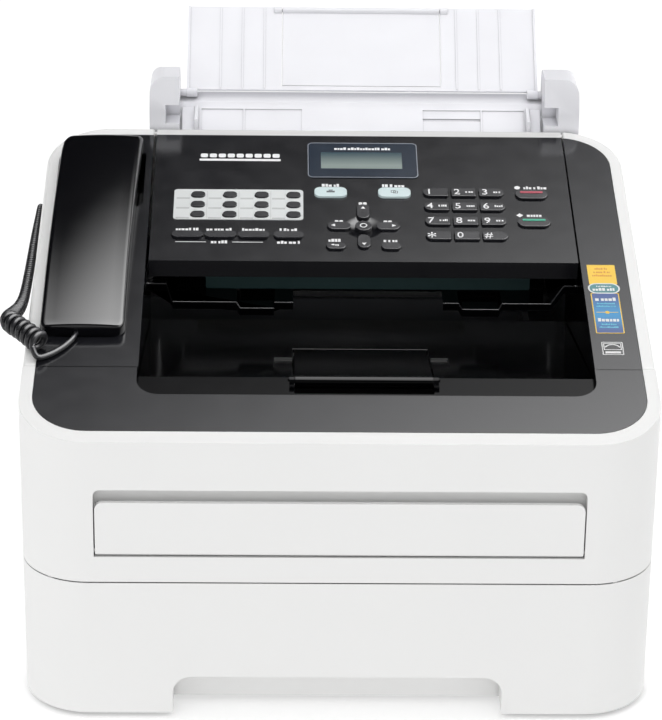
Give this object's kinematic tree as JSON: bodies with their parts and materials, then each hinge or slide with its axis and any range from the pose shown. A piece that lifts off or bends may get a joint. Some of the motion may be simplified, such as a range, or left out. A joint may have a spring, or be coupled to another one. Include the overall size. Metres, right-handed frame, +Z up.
{
  "type": "fax machine",
  "caption": "Desktop laser fax with handset cradle, sloping control panel, top document feeder, front cover and paper cassette.",
  "frame": {"origin": "centre of the housing footprint (368 by 360 mm) on the floor plane, under the feet", "axes": "+X to the right seen from the front, +Y to the rear, +Z up"},
  "size_m": [0.3838, 0.3987, 0.3132],
  "materials": {
    "shell": "fine-grained off-white ABS",
    "feeder_white": "cool white ABS, very fine grain",
    "deck_charcoal": "charcoal ABS with a fine spark-eroded grain",
    "well_black": "black semi-gloss plastic",
    "handset_black": "polished black plastic",
    "cord_black": "black PVC coil",
    "display_blue": "navy window round a grey-green liquid crystal",
    "sensor_glass": "scanner glass",
    "key_dark": "dark key caps",
    "key_pale": "pale translucent key caps",
    "key_red": "stop key with a red bar",
    "key_green": "start key with a green bar",
    "chassis_steel": "zinc-plated sheet steel",
    "screw_steel": "zinc-plated screws",
    "engine_grey": "grey engine mouldings",
    "engine_dark": "black toner cartridge",
    "drum_green": "coated drum",
    "board_green": "circuit board",
    "roller_rubber": "rubber roller",
    "foot_rubber": "rubber feet"
  },
  "bodies": {
    "root": {"chassis": "chassis_steel", "left_cover": "shell", "right_cover": "shell", "back_panel": "shell", "top_bezel": "deck_charcoal", "handset_cradle": "deck_charcoal", "document_tray": "feeder_white", "document_shelf": "well_black", "image_sensor": "sensor_glass", "output_tray": "well_black", "handset_cord": "cord_black", "drum_unit": "engine_grey", "toner_cartridge": "engine_dark", "fuser_unit": "engine_grey", "laser_unit": "engine_grey", "main_board": "board_green", "feet": "foot_rubber", "screws": "screw_steel"},
    "cassette": {"paper_tray": "shell"},
    "panel": {"control_panel": "deck_charcoal", "display": "display_blue"},
    "guide_left": {"document_guide_left": "feeder_white"},
    "guide_right": {"document_guide_right": "feeder_white"},
    "support": {"document_support": "feeder_white"},
    "support_extension": {"support_flap": "feeder_white"},
    "front_door": {"front_cover": "shell", "front_deck": "deck_charcoal"},
    "handset_body": {"handset": "handset_black"},
    "hook": {"hook_plunger": "key_pale"},
    "manual_feed_door": {"manual_feed_cover": "shell"},
    "output_extension": {"output_flap": "well_black"},
    "rear_door": {"rear_cover": "shell"},
    "lifting_plate": {"lift_plate": "chassis_steel"},
    "pickup": {"pickup_roller": "roller_rubber"},
    "drum": {"photo_drum": "drum_green"},
    "press_start": {"key_start": "key_green"},
    "press_stop": {"key_stop": "key_red"},
    "press_ok": {"key_ok": "key_dark"},
    "press_fax": {"key_fax": "key_pale"},
    "press_copy": {"key_copy": "key_pale"},
    "press_1": {"key_1": "key_dark"},
    "press_2": {"key_2": "key_dark"},
    "press_3": {"key_3": "key_dark"},
    "press_4": {"key_4": "key_dark"},
    "press_5": {"key_5": "key_dark"},
    "press_6": {"key_6": "key_dark"},
    "press_7": {"key_7": "key_dark"},
    "press_8": {"key_8": "key_dark"},
    "press_9": {"key_9": "key_dark"},
    "press_star": {"key_star": "key_dark"},
    "press_0": {"key_0": "key_dark"},
    "press_hash": {"key_hash": "key_dark"},
    "press_up": {"key_up": "key_dark"},
    "press_down": {"key_down": "key_dark"},
    "press_left": {"key_left": "key_dark"},
    "press_right": {"key_right": "key_dark"},
    "press_clear": {"key_clear": "key_dark"},
    "press_menu": {"key_menu": "key_dark"},
    "press_one_touch_keys": {"one_touch_keys": "key_dark"},
    "press_function_keys": {"function_keys": "key_dark"}
  },
  "joints": [
    {"name": "cassette_slide", "type": "slide", "parent": "root", "child": "cassette", "axis": [0, -1, 0], "range_m": [0, 0.26]},
    {"name": "control_panel_tilt", "type": "hinge", "parent": "root", "child": "panel", "pos_m": [0, 0.13848, 0.24989], "axis": [-1, 0, 0], "range_deg": [0, 50]},
    {"name": "document_guides_slide", "type": "slide", "parent": "root", "child": "guide_left", "axis": [1, 0, 0], "range_m": [0, 0.034]},
    {"name": "document_guide_right_slide", "type": "slide", "parent": "root", "child": "guide_right", "axis": [1, 0, 0], "range_m": [-0.034, 0]},
    {"name": "document_support_fold", "type": "hinge", "parent": "root", "child": "support", "pos_m": [0, 0.17, 0.268], "axis": [-1, 0, 0], "range_deg": [-150, 0]},
    {"name": "front_cover_tilt", "type": "hinge", "parent": "root", "child": "front_door", "pos_m": [0, -0.1742, 0.0946], "axis": [1, 0, 0], "range_deg": [0, 75]},
    {"name": "handset_lift", "type": "slide", "parent": "root", "child": "handset_body", "axis": [0, -0.2317, 0.9728], "range_m": [0, 0.12], "deforming": ["handset_cord"]},
    {"name": "hook_plunger_slide", "type": "slide", "parent": "root", "child": "hook", "axis": [0, -0.2317, 0.9728], "range_m": [0, 0.003]},
    {"name": "manual_feed_tilt", "type": "hinge", "parent": "front_door", "child": "manual_feed_door", "pos_m": [0, -0.177, 0.1084], "axis": [-1, 0, 0], "range_deg": [-90, 0]},
    {"name": "output_flap_tilt", "type": "hinge", "parent": "front_door", "child": "output_extension", "pos_m": [0, -0.11383, 0.18618], "axis": [1, 0, 0], "range_deg": [0, 140]},
    {"name": "support_flap_fold", "type": "hinge", "parent": "support", "child": "support_extension", "pos_m": [0, 0.21588, 0.31059], "axis": [-1, 0, 0], "range_deg": [0, 170]},
    {"name": "rear_cover_tilt", "type": "hinge", "parent": "root", "child": "rear_door", "pos_m": [0, 0.176, 0.074], "axis": [-1, 0, 0], "range_deg": [0, 85]},
    {"name": "lift_plate_tilt", "type": "hinge", "parent": "cassette", "child": "lifting_plate", "pos_m": [0, -0.01, 0.0098], "axis": [-1, 0, 0], "range_deg": [0, 7]},
    {"name": "pickup_roller_spin", "type": "hinge", "parent": "root", "child": "pickup", "pos_m": [0, -0.095, 0.074], "axis": [1, 0, 0], "continuous": true},
    {"name": "photo_drum_spin", "type": "hinge", "parent": "root", "child": "drum", "pos_m": [0, -0.01, 0.106], "axis": [1, 0, 0], "continuous": true},
    {"name": "press_start", "type": "slide", "parent": "panel", "child": "press_start", "axis": [0, 0.2317, -0.9728], "range_m": [0, 0.0008]},
    {"name": "press_stop", "type": "slide", "parent": "panel", "child": "press_stop", "axis": [0, 0.2317, -0.9728], "range_m": [0, 0.0008]},
    {"name": "press_ok", "type": "slide", "parent": "panel", "child": "press_ok", "axis": [0, 0.2317, -0.9728], "range_m": [0, 0.0008]},
    {"name": "press_fax", "type": "slide", "parent": "panel", "child": "press_fax", "axis": [0, 0.2317, -0.9728], "range_m": [0, 0.0008]},
    {"name": "press_copy", "type": "slide", "parent": "panel", "child": "press_copy", "axis": [0, 0.2317, -0.9728], "range_m": [0, 0.0008]},
    {"name": "press_1", "type": "slide", "parent": "panel", "child": "press_1", "axis": [0, 0.2317, -0.9728], "range_m": [0, 0.0008]},
    {"name": "press_2", "type": "slide", "parent": "panel", "child": "press_2", "axis": [0, 0.2317, -0.9728], "range_m": [0, 0.0008]},
    {"name": "press_3", "type": "slide", "parent": "panel", "child": "press_3", "axis": [0, 0.2317, -0.9728], "range_m": [0, 0.0008]},
    {"name": "press_4", "type": "slide", "parent": "panel", "child": "press_4", "axis": [0, 0.2317, -0.9728], "range_m": [0, 0.0008]},
    {"name": "press_5", "type": "slide", "parent": "panel", "child": "press_5", "axis": [0, 0.2317, -0.9728], "range_m": [0, 0.0008]},
    {"name": "press_6", "type": "slide", "parent": "panel", "child": "press_6", "axis": [0, 0.2317, -0.9728], "range_m": [0, 0.0008]},
    {"name": "press_7", "type": "slide", "parent": "panel", "child": "press_7", "axis": [0, 0.2317, -0.9728], "range_m": [0, 0.0008]},
    {"name": "press_8", "type": "slide", "parent": "panel", "child": "press_8", "axis": [0, 0.2317, -0.9728], "range_m": [0, 0.0008]},
    {"name": "press_9", "type": "slide", "parent": "panel", "child": "press_9", "axis": [0, 0.2317, -0.9728], "range_m": [0, 0.0008]},
    {"name": "press_star", "type": "slide", "parent": "panel", "child": "press_star", "axis": [0, 0.2317, -0.9728], "range_m": [0, 0.0008]},
    {"name": "press_0", "type": "slide", "parent": "panel", "child": "press_0", "axis": [0, 0.2317, -0.9728], "range_m": [0, 0.0008]},
    {"name": "press_hash", "type": "slide", "parent": "panel", "child": "press_hash", "axis": [0, 0.2317, -0.9728], "range_m": [0, 0.0008]},
    {"name": "press_up", "type": "slide", "parent": "panel", "child": "press_up", "axis": [0, 0.2317, -0.9728], "range_m": [0, 0.0008]},
    {"name": "press_down", "type": "slide", "parent": "panel", "child": "press_down", "axis": [0, 0.2317, -0.9728], "range_m": [0, 0.0008]},
    {"name": "press_left", "type": "slide", "parent": "panel", "child": "press_left", "axis": [0, 0.2317, -0.9728], "range_m": [0, 0.0008]},
    {"name": "press_right", "type": "slide", "parent": "panel", "child": "press_right", "axis": [0, 0.2317, -0.9728], "range_m": [0, 0.0008]},
    {"name": "press_clear", "type": "slide", "parent": "panel", "child": "press_clear", "axis": [0, 0.2317, -0.9728], "range_m": [0, 0.0008]},
    {"name": "press_menu", "type": "slide", "parent": "panel", "child": "press_menu", "axis": [0, 0.2317, -0.9728], "range_m": [0, 0.0008]},
    {"name": "press_one_touch_keys", "type": "slide", "parent": "panel", "child": "press_one_touch_keys", "axis": [0, 0.2317, -0.9728], "range_m": [0, 0.0008]},
    {"name": "press_function_keys", "type": "slide", "parent": "panel", "child": "press_function_keys", "axis": [0, 0.2317, -0.9728], "range_m": [0, 0.0008]}
  ],
  "couplings": [
    {"joint": "document_guide_right_slide", "follows": "document_guides_slide", "ratio": -1},
    {"joint": "hook_plunger_slide", "follows": "handset_lift", "ratio": 0.025}
  ]
}
